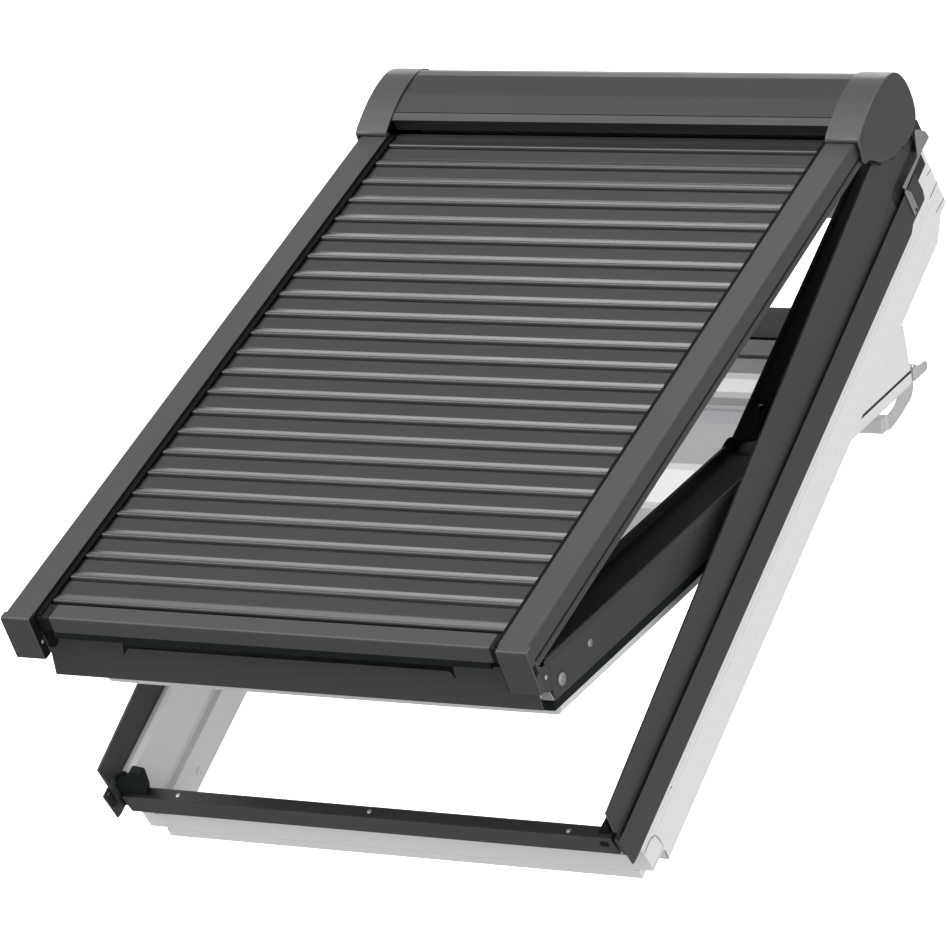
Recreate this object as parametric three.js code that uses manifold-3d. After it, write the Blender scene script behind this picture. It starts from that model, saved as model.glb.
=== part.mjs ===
// Electric roller shutter on a centre-pivot roof window, shown open.
// The shutter's box sits on the window frame. The sash is turned open and carries the shutter.
// Lengths are millimetres. X runs across the window, Y runs up the roof, Z is up.
//
// Three tilted planes share one line, the lower front edge of the shutter's box:
// the frame lies at the roof's pitch, the shutter panel and the sash are lifted out of it.
// In each plane s is measured up the slope and n is measured out of the slope.

import * as THREE from 'three';
import { mergeVertices } from 'three/addons/utils/BufferGeometryUtils.js';
import Module from 'manifold-3d';

const wasm = await Module();
wasm.setup();

// Pitches, in degrees above the horizontal
const FRAME_PITCH = 45;
const SHUTTER_PITCH = 34.6;
const SASH_PITCH = 20.1;

// Window frame
const GAP = 0.3;
const FRAME_HALF = 389.5;
const FRAME_LOW = -1034.5;
const FRAME_HIGH = 143.5;
const FRAME_UNDER = -295.5;
const FRAME_SHOULDER = -160;
const LEDGE = -244;
const MOUNT = { s: -1027, n: -292 };
const REBATE_HALF = 370;
const OPENING_HALF = 361;

// Side covers, which rise towards the top of the window
const COVER_OUT = 391.5;
const COVER_LOW = -1059;
const COVER_HIGH = 138;
const RIDGE_AT_LOW = -119.8;
const RIDGE_AT_HIGH = -59;
const GUTTER_OUT = 398;
const GUTTER_LOW = -1066.5;
const GUTTER_HIGH = 96;

// Shutter box
const BOX_HALF = 401.5;
const BAND_FROM = 350;
const PLATE = 4;
const SHELL = 3;
const TUBE_RADIUS = 24;
const HINGE = { s: 83, n: -50 };
const HINGE_PIN = 9;

// Shutter panel
const RAIL_OUT = 395;
const RAIL_IN = 350;
const RAIL_LOW = -1053;
const RAIL_HIGH = 10;
const SLOT_END = 372;
const SLAT_COUNT = 24;
const SLAT_PITCH = 43.62;
const FIRST_NOSE = -2.9;
const LAST_NOSE = -1009.4;
const NOSE_TOP = -10;

// Sash
const SASH_HALF = 347.5;
const SASH_LOW = -901;
const SASH_HIGH = 144.5;
const SASH_UNDER = -424;
const SASH_INSIDE = 300;
const SASH_TOP = -332;
const GLASS_LEDGE = -350.3;
const PIVOT = { s: -394, n: -116 };
const PIVOT_PIN = 5;

const radians = THREE.MathUtils.degToRad;

// Group tilted by a pitch about the X axis, so that its own Y is s and its own Z is n
function tilted(pitch) {
  const group = new THREE.Group();
  group.rotation.x = radians(pitch);
  return group;
}

// Point (s, n) of one tilted plane, in Y and Z of the object
function place(pitch, s, n) {
  const a = radians(pitch);
  return new THREE.Vector2(s * Math.cos(a) - n * Math.sin(a), s * Math.sin(a) + n * Math.cos(a));
}

// Point of one tilted plane, in s and n of another
function convert(fromPitch, toPitch, s, n) {
  const p = place(fromPitch, s, n);
  const a = radians(toPitch);
  return { s: p.x * Math.cos(a) + p.y * Math.sin(a), n: -p.x * Math.sin(a) + p.y * Math.cos(a) };
}

function shapeOf(points) {
  return new THREE.Shape(points.map(([a, b]) => new THREE.Vector2(a, b)));
}

function round(a, b, radius) {
  const shape = new THREE.Shape();
  shape.absarc(a, b, radius, 0, Math.PI * 2);
  return shape;
}

function holeIn(shape, a, b, radius) {
  const path = new THREE.Path();
  path.absarc(a, b, radius, 0, Math.PI * 2, true);
  shape.holes.push(path);
  return shape;
}

// Outline in s and n, swept across the window from x0 to x1
function across(outline, x0, x1) {
  const shape = Array.isArray(outline) ? shapeOf(outline) : outline;
  const geometry = new THREE.ExtrudeGeometry(shape, {
    depth: x1 - x0, bevelEnabled: false, curveSegments: 10,
  });
  const turn = new THREE.Matrix4().makeBasis(
    new THREE.Vector3(0, 1, 0), new THREE.Vector3(0, 0, 1), new THREE.Vector3(1, 0, 0));
  return geometry.applyMatrix4(turn).translate(x0, 0, 0);
}

// Outline in x and n, swept up the slope from s0 to s1
function along(outline, s0, s1) {
  const geometry = new THREE.ExtrudeGeometry(shapeOf(outline), { depth: s1 - s0, bevelEnabled: false });
  const turn = new THREE.Matrix4().makeBasis(
    new THREE.Vector3(1, 0, 0), new THREE.Vector3(0, 0, 1), new THREE.Vector3(0, -1, 0));
  return geometry.applyMatrix4(turn).translate(0, s1, 0);
}

function block(x0, x1, s0, s1, n0, n1) {
  const geometry = new THREE.BoxGeometry(x1 - x0, s1 - s0, n1 - n0);
  return geometry.translate((x0 + x1) / 2, (s0 + s1) / 2, (n0 + n1) / 2);
}

// Solid between two outlines in x and n that have the same number of points
function loft(low, s0, high, s1) {
  const contour = low.map(([a, b]) => new THREE.Vector2(a, b));
  if (THREE.ShapeUtils.area(contour) < 0) {
    throw new Error('outline runs the wrong way');
  }
  const faces = THREE.ShapeUtils.triangulateShape(contour, []);
  const count = low.length;
  const position = [];
  low.forEach(([x, n]) => position.push(x, s0, n));
  high.forEach(([x, n]) => position.push(x, s1, n));
  const index = [];
  faces.forEach(([a, b, c]) => {
    index.push(a, b, c);
    index.push(a + count, c + count, b + count);
  });
  for (let i = 0; i < count; i += 1) {
    const j = (i + 1) % count;
    index.push(i, i + count, j);
    index.push(j, i + count, j + count);
  }
  const geometry = new THREE.BufferGeometry();
  geometry.setAttribute('position', new THREE.Float32BufferAttribute(position, 3));
  geometry.setIndex(index);
  return geometry;
}

// Open line moved to its right by a distance, at every point
function moved(line, distance) {
  return line.map(([s, n], i) => {
    const before = line[Math.max(i - 1, 0)];
    const after = line[Math.min(i + 1, line.length - 1)];
    const ds = after[0] - before[0];
    const dn = after[1] - before[1];
    const length = Math.hypot(ds, dn);
    return [s + (distance * dn) / length, n - (distance * ds) / length];
  });
}

// Sheet of a given thickness on the right of an open line
function sheet(line, thickness) {
  return [...line, ...moved(line, thickness).reverse()];
}

// Joining and cutting
function solid(geometry) {
  const bare = geometry.clone();
  bare.deleteAttribute('normal');
  bare.deleteAttribute('uv');
  const merged = mergeVertices(bare, 1e-4);
  return new wasm.Manifold(new wasm.Mesh({
    numProp: 3,
    vertProperties: Float32Array.from(merged.attributes.position.array),
    triVerts: Uint32Array.from(merged.index.array),
  }));
}

function geometryOf(manifold) {
  const mesh = manifold.getMesh();
  const geometry = new THREE.BufferGeometry();
  geometry.setAttribute('position', new THREE.Float32BufferAttribute(mesh.vertProperties, 3));
  geometry.setIndex([...mesh.triVerts]);
  return geometry;
}

function join(...parts) {
  return geometryOf(parts.map(solid).reduce((sum, part) => sum.add(part)));
}

function cut(base, ...tools) {
  return geometryOf(tools.map(solid).reduce((rest, tool) => rest.subtract(tool), solid(base)));
}

// Mirror image on the other side of the window
function mirrored(geometry) {
  const flat = geometry.index ? geometry.toNonIndexed() : geometry.clone();
  const position = flat.attributes.position;
  for (let i = 0; i < position.count; i += 3) {
    const corners = [0, 2, 1].map((k) => [
      -position.getX(i + k), position.getY(i + k), position.getZ(i + k)]);
    corners.forEach(([x, y, z], k) => position.setXYZ(i + k, x, y, z));
  }
  return flat;
}

// Finishes
const FINISH = {
  graphite: { color: '#535456', roughness: 0.45, metalness: 0.35 },
  slat: { color: '#5c5d5f', roughness: 0.4, metalness: 0.35 },
  black: { color: '#17191a', roughness: 0.7, metalness: 0.0 },
  white: { color: '#ececea', roughness: 0.4, metalness: 0.0 },
  glass: { color: '#b9c4c8', roughness: 0.05, metalness: 0.0 },
  steel: { color: '#a9abad', roughness: 0.35, metalness: 0.9 },
  handle: { color: '#c9cfd2', roughness: 0.3, metalness: 0.6 },
};

function add(group, name, geometry, finish) {
  const mesh = new THREE.Mesh(geometry, new THREE.MeshStandardMaterial(FINISH[finish]));
  mesh.name = name;
  group.add(mesh);
}

function addPair(group, name, geometry, finish) {
  add(group, `${name}_right`, geometry, finish);
  add(group, `${name}_left`, mirrored(geometry), finish);
}

const frame = tilted(FRAME_PITCH);
const shutter = tilted(SHUTTER_PITCH);
const sash = tilted(SASH_PITCH);

// Frame members
const sideSection = [
  [OPENING_HALF, FRAME_UNDER], [FRAME_HALF, FRAME_UNDER], [FRAME_HALF, FRAME_SHOULDER],
  [REBATE_HALF, FRAME_SHOULDER], [REBATE_HALF, LEDGE], [OPENING_HALF, LEDGE],
];
const frameSide = cut(
  along(sideSection, FRAME_LOW, FRAME_HIGH),
  block(OPENING_HALF - 1, FRAME_HALF + 1, FRAME_LOW - 1, -994, FRAME_UNDER - 1, -276),
  block(OPENING_HALF - 1, FRAME_HALF + 1, 120, FRAME_HIGH + 1, FRAME_UNDER - 1, -275),
);
addPair(frame, 'frame', frameSide, 'white');

const bottomSection = [
  [FRAME_LOW, MOUNT.n], [-1020, MOUNT.n], [-1020, -276], [-1004, -276], [-1004, -213],
  [FRAME_LOW, -213],
];
add(frame, 'frame_bottom', across(bottomSection, GAP - OPENING_HALF, OPENING_HALF - GAP), 'white');
const topSection = [
  [108.5, -274], [FRAME_HIGH, -274], [FRAME_HIGH, -167], [108.5, -167],
];
add(frame, 'frame_top', across(topSection, GAP - OPENING_HALF, OPENING_HALF - GAP), 'white');

// Outline of the box's ends: over the top from the lower front edge, then back under the box
const overTop = [
  [0, 0], [21, 4.4], [41, 7.6], [62, 8.8], [83, 8.4], [100, 6], [117, 2.6],
  [131, -3.5], [145, -14], [153, -28], [157.5, -44], [158.5, -60], [156, -80],
];
const underBox = [
  [155.6, -81.4], [150.7, -95], [143, -105], [126, -111.5], [107, -109], [88, -103],
  [59.5, -92], [40, -79], [25, -66],
];
const throat = [[7.4, -44], [-4, -40], [-8.5, -34], [-3.7, -20.7]];
const boxOutline = [...overTop, ...underBox];
const endOutline = [...boxOutline, ...throat];

// Box ends: a plate outside, a band around it, and the pin that the shutter and the tube turn on
function boxEnd(pinEnd, extra) {
  return join(
    across(endOutline, BOX_HALF - PLATE, BOX_HALF),
    across(sheet(boxOutline, SHELL), BAND_FROM, BOX_HALF - PLATE + 0.1),
    across(round(HINGE.s, HINGE.n, HINGE_PIN), pinEnd, BOX_HALF - PLATE + 0.1),
    ...extra,
  );
}
const bearing = across(round(HINGE.s, HINGE.n, 21), 322, 346);
add(frame, 'box_end_right', boxEnd(345, []), 'graphite');
add(frame, 'box_end_left', mirrored(boxEnd(344, [bearing])), 'graphite');

// Box cover and box back, between the ends
const inset = moved(boxOutline, 2.5);
const lipStart = [23, 2.4];
const coverLine = [lipStart, ...inset.slice(2, 13)];
const backLine = inset.slice(13);
add(frame, 'box_cover', across(sheet(coverLine, 2), GAP - BAND_FROM, BAND_FROM - GAP), 'graphite');
add(frame, 'box_back', across(sheet(backLine, 2.5), GAP - BAND_FROM, BAND_FROM - GAP), 'graphite');

// Roller tube around its motor
const tubeRing = holeIn(round(HINGE.s, HINGE.n, TUBE_RADIUS), HINGE.s, HINGE.n, 21.3);
add(frame, 'roller_tube', across(tubeRing, -338, 338), 'steel');
const motor = join(
  across(round(HINGE.s, HINGE.n, 19), 60, 345 - GAP),
  across(round(HINGE.s, HINGE.n, 21), 60, 74),
  across(round(HINGE.s, HINGE.n, 21), 318, 340),
);
add(frame, 'tube_motor', motor, 'black');

// Side covers: a tall fin with a sloping inner flank, and a gutter along its foot
function finSection(ridge) {
  return [
    [FRAME_HALF + GAP, -185], [COVER_OUT, -185], [COVER_OUT, ridge], [388, ridge], [377, -147],
    [377, FRAME_SHOULDER + GAP], [FRAME_HALF + GAP, FRAME_SHOULDER + GAP],
  ];
}
const gutterSection = [
  [FRAME_HALF + GAP, -213.5], [COVER_OUT, -213.5], [COVER_OUT, -190.5], [396.3, -190.5],
  [396.3, -213.5], [GUTTER_OUT, -213.5], [GUTTER_OUT, -163], [396.3, -163], [396.3, -188.5],
  [COVER_OUT, -188.5], [COVER_OUT, -180], [FRAME_HALF + GAP, -180],
];
const fin = loft(finSection(RIDGE_AT_LOW), COVER_LOW, finSection(RIDGE_AT_HIGH), COVER_HIGH);
const coverBlank = join(fin, along(gutterSection, GUTTER_LOW, GUTTER_HIGH));
const sideCover = cut(coverBlank, across(moved(boxOutline, -GAP), 340, 410));
addPair(frame, 'side_cover', sideCover, 'graphite');

// Trims over the upper half of the sash, notched beside the pivots
const trimSection = [
  [SASH_INSIDE, -172], [306, -172], [306, -166], [376.7, -151], [376.7, -147], [SASH_INSIDE, -161],
];
const pivotNotch = block(356, 378, -399, -364, -180, -140);
const upperTrim = cut(along(trimSection, -398, 100), pivotNotch);
addPair(frame, 'upper_trim', upperTrim, 'graphite');

// Cover along the bottom of the frame
const sillSection = [
  [-1054, -186], [-1052, -218], [FRAME_LOW - GAP, -218], [FRAME_LOW - GAP, -183], [-1036.6, -182.7],
];
add(frame, 'sill_cover', across(sillSection, -385, 385), 'graphite');

// Pivot blocks on the frame, each with a pin that the sash turns on
const pivotBlock = join(
  block(REBATE_HALF + GAP, 376.7, -424, -364, FRAME_SHOULDER + GAP, -100),
  across(round(PIVOT.s, PIVOT.n, PIVOT_PIN), 357, REBATE_HALF + 1),
);
addPair(frame, 'pivot_block', pivotBlock, 'steel');

// Side rails of the shutter, with a slot for the slats and a groove along the outside
const railSection = [
  [RAIL_IN, -43.5], [392.5, -43.5], [392.5, -39], [RAIL_OUT, -38], [RAIL_OUT, -32],
  [392, -31], [392, -28.5], [RAIL_OUT, -27.5], [RAIL_OUT, -7], [393, -5], [351, -5],
  [RAIL_IN, -6], [RAIL_IN, NOSE_TOP + GAP], [SLOT_END, NOSE_TOP + GAP], [SLOT_END, -36],
  [RAIL_IN, -36],
];
addPair(shutter, 'rail', along(railSection, RAIL_LOW, RAIL_HIGH), 'graphite');

const capSection = [
  [RAIL_LOW - GAP, -5], [-1058.5, -5], [-1062, -6], [-1065.5, -9.5], [-1066.5, -13],
  [-1066.5, -73], [-1055.5, -73], [-1055.5, -43.5], [RAIL_LOW - GAP, -43.5],
];
addPair(shutter, 'rail_cap', across(capSection, 352, 397), 'graphite');

// Arms that carry the rails on the pins of the box
const hinge = convert(FRAME_PITCH, SHUTTER_PITCH, HINGE.s, HINGE.n);
const armSection = [
  [RAIL_HIGH + GAP, -10], [30, -10], [hinge.s, hinge.n + 13], [hinge.s, hinge.n - 13],
  [60, -41], [RAIL_HIGH + GAP, -36],
];
const armBlank = join(
  across(armSection, 374, 392),
  across(round(hinge.s, hinge.n, 14), 374, 392),
);
const hingeArm = cut(armBlank, across(round(hinge.s, hinge.n, HINGE_PIN + 0.4), 370, 396));
addPair(shutter, 'hinge_arm', hingeArm, 'steel');

// Slats: a rounded nose at the lower edge, a shallow body, and an upper edge tucked under
// the nose of the slat above
function slatLine(nose, upper) {
  const lead = [
    [nose - 4.4, NOSE_TOP - 4.6], [nose - 4.4, NOSE_TOP - 2.6], [nose - 3.2, NOSE_TOP - 0.9],
    [nose - 0.5, NOSE_TOP], [nose + 3, NOSE_TOP - 0.5], [nose + 8, NOSE_TOP - 2.4],
    [nose + 14, NOSE_TOP - 2.9],
  ];
  return [
    ...lead, [upper - 8.5, NOSE_TOP - 3.2], [upper - 4.8, NOSE_TOP - 5.9], [upper, NOSE_TOP - 6.1],
  ];
}
const SLAT_END = SLOT_END - GAP;
for (let i = 0; i < SLAT_COUNT; i += 1) {
  const above = FIRST_NOSE - (i - 1) * SLAT_PITCH;
  const nose = i < SLAT_COUNT - 1 ? above - SLAT_PITCH : LAST_NOSE;
  const upper = i === 0 ? nose + 24.9 : above - 0.6;
  const name = `slat_${String(i + 1).padStart(2, '0')}`;
  add(shutter, name, across(sheet(slatLine(nose, upper), 2), -SLAT_END, SLAT_END), 'slat');
}

// Bottom bar with its soft seal, and tongues that run in the rails
const barTop = LAST_NOSE - 4.8;
const barSection = [
  [barTop, -10.3], [-1046, -10], [-1050, -13], [-1050.5, -30], [-1057, -33], [-1058, -46],
  [-1054, -48], [-1049, -38], [-1044, -34], [barTop, -34], [barTop, -19.2], [barTop + 6, -19.2],
  [barTop + 6, -16.6], [barTop, -16.6],
];
const bottomBar = join(
  across(barSection, -331, 331),
  block(-SLAT_END, SLAT_END, -1045, barTop - 1, -30, -12),
);
add(shutter, 'bottom_bar', bottomBar, 'slat');

// Sash members, rebated for the glass
const stileSection = [
  [SASH_INSIDE, SASH_UNDER], [SASH_HALF, SASH_UNDER], [SASH_HALF, SASH_TOP], [313, SASH_TOP],
  [313, GLASS_LEDGE], [SASH_INSIDE, GLASS_LEDGE],
];
const pivot = convert(FRAME_PITCH, SASH_PITCH, PIVOT.s, PIVOT.n);
const lugBlank = join(
  along(stileSection, SASH_LOW, SASH_HIGH),
  block(SASH_HALF - 1, 364, -329, -288, -345, -335),
  block(358, 364, -329, -288, -345, pivot.n),
  across(round(pivot.s, pivot.n, 16), 358, 364),
);
const sashSide = cut(lugBlank, across(round(pivot.s, pivot.n, PIVOT_PIN + 0.4), 350, 370));
addPair(sash, 'sash', sashSide, 'white');

// Cross members: the lower half fits between the side members, the upper half lies on their ledges
function crossMember(lowerFrom, lowerTo, upperFrom, upperTo) {
  const lowerHalf = SASH_INSIDE - GAP;
  const upperHalf = 313 - GAP;
  return join(
    block(-lowerHalf, lowerHalf, lowerFrom, lowerTo, SASH_UNDER, GLASS_LEDGE),
    block(-lowerHalf, lowerHalf, upperFrom, upperTo, GLASS_LEDGE - 1, GLASS_LEDGE + 1),
    block(-upperHalf, upperHalf, upperFrom, upperTo, GLASS_LEDGE + GAP, SASH_TOP),
  );
}
add(sash, 'sash_bottom', crossMember(SASH_LOW, -832, SASH_LOW, -845.3), 'white');
add(sash, 'sash_top', crossMember(39, SASH_HIGH, 52.3, SASH_HIGH), 'white');
add(sash, 'glazing', block(-312.7, 312.7, -845, 52, GLASS_LEDGE + GAP, -340), 'glass');

// Covers of the sash
const topCoverSection = [
  [39, -339.7], [39, -312], [147, -312], [147, -345], [SASH_HIGH + GAP, -345],
  [SASH_HIGH + GAP, -315], [42, -315], [42, -339.7],
];
add(sash, 'sash_cover_top', across(topCoverSection, -298, 298), 'graphite');

const bottomCover = cut(
  join(
    block(-367.5, 367.5, -978, -880, SASH_TOP + GAP, -328),
    block(-367.5, 367.5, -978, -974, -378, -330),
  ),
  block(-300, 300, -980, -972, -343, -335),
  block(363.7, 368, -941.3, -879, -335, -325),
  block(-368, -363.7, -941.3, -879, -335, -325),
);
add(sash, 'sash_cover_bottom', bottomCover, 'graphite');

const sideCoverSection = [
  [SASH_INSIDE, -327.7], [364, -327.7], [364, -394], [367, -394], [367, -325], [306, -325],
  [306, -314], [SASH_INSIDE, -314],
];
const sashSideCover = cut(
  join(
    along(sideCoverSection, -941, -318),
    block(SASH_INSIDE, 306, -879.6, -330, SASH_TOP + GAP, -327),
  ),
  block(356.5, 368, -330, -317, -400, -320),
);
addPair(sash, 'sash_cover', sashSideCover, 'graphite');

// Pads on the sash that the rails of the shutter rest on
addPair(sash, 'carry_pad', block(352, 365, -973, -955, -327.7, -296.9), 'black');

// Ventilation flap with the bar that opens it
const FLAP_EDGE = { s: 148.8, n: -396 };
const flapSection = [
  [FLAP_EDGE.s - 3.6, FLAP_EDGE.n], [FLAP_EDGE.s - 3.6, -418], [172, -418], [172, -392],
  [FLAP_EDGE.s, -392],
];
const bracketSection = [
  [150, -417], [172, -417], [172, -445], [166, -455], [136, -463], [87, -469], [75, -468],
  [75, -446], [92, -446], [125, -437], [148, -428],
];
const ventFlap = join(
  across(flapSection, -350, 350),
  across(round(FLAP_EDGE.s, FLAP_EDGE.n, 3.9), -350, 350),
  across(bracketSection, 322, 334),
  across(bracketSection, -334, -322),
  across(round(72, -454, 14), -334, 334),
);
add(sash, 'vent_flap', ventFlap, 'handle');

// The object's origin is on the underside of the frame's bottom member
const shutterOnWindow = new THREE.Group();
shutterOnWindow.name = 'electric_roller_shutter';
const mount = place(FRAME_PITCH, MOUNT.s, MOUNT.n);
[frame, shutter, sash].forEach((group) => {
  group.position.set(0, -mount.x, -mount.y);
  shutterOnWindow.add(group);
});

export default shutterOnWindow;
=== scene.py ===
import math

import bmesh
import bpy
from mathutils import Matrix, Vector


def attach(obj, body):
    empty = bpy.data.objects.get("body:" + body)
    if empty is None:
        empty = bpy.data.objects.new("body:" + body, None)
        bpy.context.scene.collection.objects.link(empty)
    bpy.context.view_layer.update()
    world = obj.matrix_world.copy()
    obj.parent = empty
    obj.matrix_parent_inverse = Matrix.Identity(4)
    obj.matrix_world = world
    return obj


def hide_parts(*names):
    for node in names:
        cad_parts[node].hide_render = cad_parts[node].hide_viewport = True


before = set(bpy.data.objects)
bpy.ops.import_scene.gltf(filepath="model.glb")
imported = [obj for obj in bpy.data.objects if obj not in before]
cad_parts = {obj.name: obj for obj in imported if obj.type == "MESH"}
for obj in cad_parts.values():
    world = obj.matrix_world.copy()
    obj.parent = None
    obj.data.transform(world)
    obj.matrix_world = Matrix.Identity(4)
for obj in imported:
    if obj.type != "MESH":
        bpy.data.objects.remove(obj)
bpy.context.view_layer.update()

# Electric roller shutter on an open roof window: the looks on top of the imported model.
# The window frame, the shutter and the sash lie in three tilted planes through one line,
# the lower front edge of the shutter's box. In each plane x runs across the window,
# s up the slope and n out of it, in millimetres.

FRAME_PITCH = 45.0
SHUTTER_PITCH = 34.6
SASH_PITCH = 20.1
PITCH = {"frame": FRAME_PITCH, "roller": FRAME_PITCH, "shutter": SHUTTER_PITCH, "curtain": SHUTTER_PITCH,
         "sash": SASH_PITCH, "vent": SASH_PITCH}
LINE = Vector((0.0, 519.7235, 932.6738))
ACROSS = {"x": Vector((1, 0, 0)), "s": Vector((0, 1, 0))}


def tilt(body):
    """Matrix from x, s and n in millimetres of a body's plane to the object's own metres."""
    turn = Matrix.Rotation(math.radians(PITCH[body]), 4, "X")
    return Matrix.Scale(0.001, 4) @ Matrix.Translation(LINE) @ turn


# Shader nodes


class Wire:
    """One output of a shader node. Values add Math nodes with + - and *."""

    def __init__(self, nodes, socket):
        self.nodes = nodes
        self.socket = socket

    def math(self, operation, first, second):
        return self.nodes.node("ShaderNodeMath", {"operation": operation}, [first, second])

    def __add__(self, other):
        return self.math("ADD", self, other)

    def __radd__(self, other):
        return self.math("ADD", other, self)

    def __sub__(self, other):
        return self.math("SUBTRACT", self, other)

    def __rsub__(self, other):
        return self.math("SUBTRACT", other, self)

    def __mul__(self, other):
        return self.math("MULTIPLY", self, other)

    def __rmul__(self, other):
        return self.math("MULTIPLY", other, self)


class Nodes:
    """The shader nodes of one material or of the studio's light."""

    def __init__(self, owner):
        owner.use_nodes = True
        self.tree = owner.node_tree

    def node(self, kind, settings=None, sockets=(), out=0):
        """Adds a node: its settings first, then its sockets' values or links."""
        made = self.tree.nodes.new(kind)
        for key, value in (settings or {}).items():
            if key == "stops":
                stops = made.color_ramp.elements
                while len(stops) < len(value):
                    stops.new(0.5)
                for stop, (position, level) in zip(stops, value):
                    stop.position = position
                    stop.color = (level, level, level, 1.0)
            else:
                setattr(made, key, value)
        filled = sockets.items() if isinstance(sockets, dict) else enumerate(sockets)
        for key, value in filled:
            if isinstance(value, Wire):
                self.tree.links.new(value.socket, made.inputs[key])
            else:
                made.inputs[key].default_value = value
        return Wire(self, made.outputs[out])


class Look(Nodes):
    """One material: a Principled shader and the nodes that feed it."""

    def __init__(self, name):
        self.material = bpy.data.materials.new(name)
        super().__init__(self.material)
        self.shader = self.tree.nodes["Principled BSDF"]
        self.place = self.node("ShaderNodeTexCoord", out="Object")

    def noise(self, scale, detail=2.0, stretch=None):
        """Noise from 0 to 1, in cells per metre."""
        spot = self.place
        if stretch:
            spot = self.node("ShaderNodeMapping", {}, {"Vector": spot, "Scale": stretch})
        return self.node("ShaderNodeTexNoise", {}, {"Vector": spot, "Scale": scale, "Detail": detail})

    def ramp(self, value, *stops):
        """A value bent by stops of (position, level)."""
        return self.node("ShaderNodeValToRGB", {"stops": stops}, [value])

    def blend(self, share, first, second):
        """Colour between two colours."""
        first, second = [c if isinstance(c, Wire) else (*c, 1.0) for c in (first, second)]
        sockets = {0: share, 6: first, 7: second}
        return self.node("ShaderNodeMix", {"data_type": "RGBA"}, sockets, out=2)

    def edge(self):
        """1 along the rounded edges of a piece and 0 on its flats."""
        return self.node("ShaderNodeAttribute", {"attribute_name": "edge"}, out="Fac")

    def set(self, **values):
        """Fills the shader's sockets, named in lower case."""
        for key, value in values.items():
            socket = next(i for i in self.shader.inputs if i.name.lower() == key.replace("_", " "))
            if isinstance(value, Wire):
                self.tree.links.new(value.socket, socket)
            else:
                socket.default_value = value
        return self

    def bump(self, height, strength, distance):
        sockets = {"Strength": strength, "Distance": distance, "Height": height}
        return self.set(normal=self.node("ShaderNodeBump", {}, sockets))


def powder_coat(name, dark, light, edge_tone, rough):
    """Satin powder coat: orange peel, slow drifts of tone, and rounded edges painted lighter in patches: a
    painted highlight, with some wear.
    """
    look = Look(name)
    drift = look.noise(4.0, 3.0)
    grain = look.noise(750.0, 2.0)
    smear = look.noise(24.0, 4.0, (1.0, 0.4, 0.4))
    # Edges lighter in patches: a painted highlight along the rounded edges, partly wear.
    rub = look.edge() * look.ramp(smear, (0.3, 0.35), (0.75, 1.0))
    tone = look.blend(drift * 0.65 + grain * 0.35, dark, light)
    look.set(base_color=look.blend(rub, tone, edge_tone), specular_ior_level=0.35)
    look.set(roughness=rough + 0.12 * (smear - 0.5) + 0.08 * (grain - 0.5) - 0.06 * rub)
    return look.bump(grain, 0.2, 0.0001).material


def slat_coat(name):
    """Coil-coated slat: fine rolling lines along the slat, a faint cloudiness across it."""
    look = Look(name)
    rolled = look.noise(60.0, 4.0, (0.04, 22.0, 22.0))
    cloud = look.noise(9.0, 3.0, (0.5, 1.0, 1.0))
    grain = look.noise(900.0, 1.0)
    tone = look.blend(rolled * 0.45 + cloud * 0.55, (0.0298, 0.0301, 0.031), (0.037, 0.0374, 0.0382))
    look.set(base_color=tone, specular_ior_level=0.5)
    look.set(roughness=0.25 + 0.08 * (cloud - 0.5) + 0.03 * (rolled - 0.5))
    return look.bump(grain, 0.03, 0.00004).material


def rubber(name, dark, light, rough, scale=500.0):
    """Soft black rubber or moulded plastic with a fine matt grain."""
    look = Look(name)
    grain = look.noise(scale, 3.0)
    bloom = look.noise(18.0, 4.0)
    look.set(base_color=look.blend(look.ramp(bloom, (0.35, 0.0), (0.8, 1.0)), dark, light))
    look.set(roughness=rough + 0.16 * (bloom - 0.5) + 0.1 * (grain - 0.5), specular_ior_level=0.15)
    return look.bump(grain, 0.25, 0.00012).material


def white_paint(name):
    """White lacquer on the window's members: a slow drift of tone, brushed grain, greyer edges."""
    look = Look(name)
    drift = look.noise(3.0, 3.0)
    fibre = look.noise(40.0, 3.0, (1.0, 0.12, 0.12))
    dust = look.noise(70.0, 5.0)
    tone = look.blend(drift * 0.6 + fibre * 0.4, (0.8, 0.8, 0.803), (0.86, 0.86, 0.86))
    grime = look.edge() * look.ramp(dust, (0.45, 0.0), (0.8, 0.5))
    look.set(base_color=look.blend(grime, tone, (0.55, 0.55, 0.54)))
    look.set(roughness=0.4 + 0.14 * (fibre - 0.5) + 0.08 * (dust - 0.5))
    return look.bump(fibre * 0.7 + dust * 0.3, 0.08, 0.0001).material


def bare_metal(name, dark, light, rough, stretch):
    """Bare metal with fine drawn lines and dull patches."""
    look = Look(name)
    drawn = look.noise(120.0, 4.0, stretch)
    patch = look.noise(35.0, 4.0)
    look.set(base_color=look.blend(drawn * 0.5 + patch * 0.5, dark, light), metallic=1.0)
    look.set(roughness=rough + 0.2 * (patch - 0.5) + 0.12 * (drawn - 0.5))
    return look.bump(drawn, 0.1, 0.0001).material


def pane_glass(name):
    """Clear insulating glass with a faint grey tint and a trace of dust on it."""
    look = Look(name)
    dust = look.noise(55.0, 6.0)
    film = look.ramp(dust, (0.5, 0.0), (0.95, 0.06))
    look.set(base_color=look.blend(film, (0.955, 0.965, 0.98), (0.88, 0.885, 0.895)))
    look.set(transmission_weight=1.0, ior=1.2, roughness=0.01 + 0.2 * film)
    return look.material


# Each powder coat's fourth colour is the colour of its rounded edges, lighter: a painted highlight with some
# wear.
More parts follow.
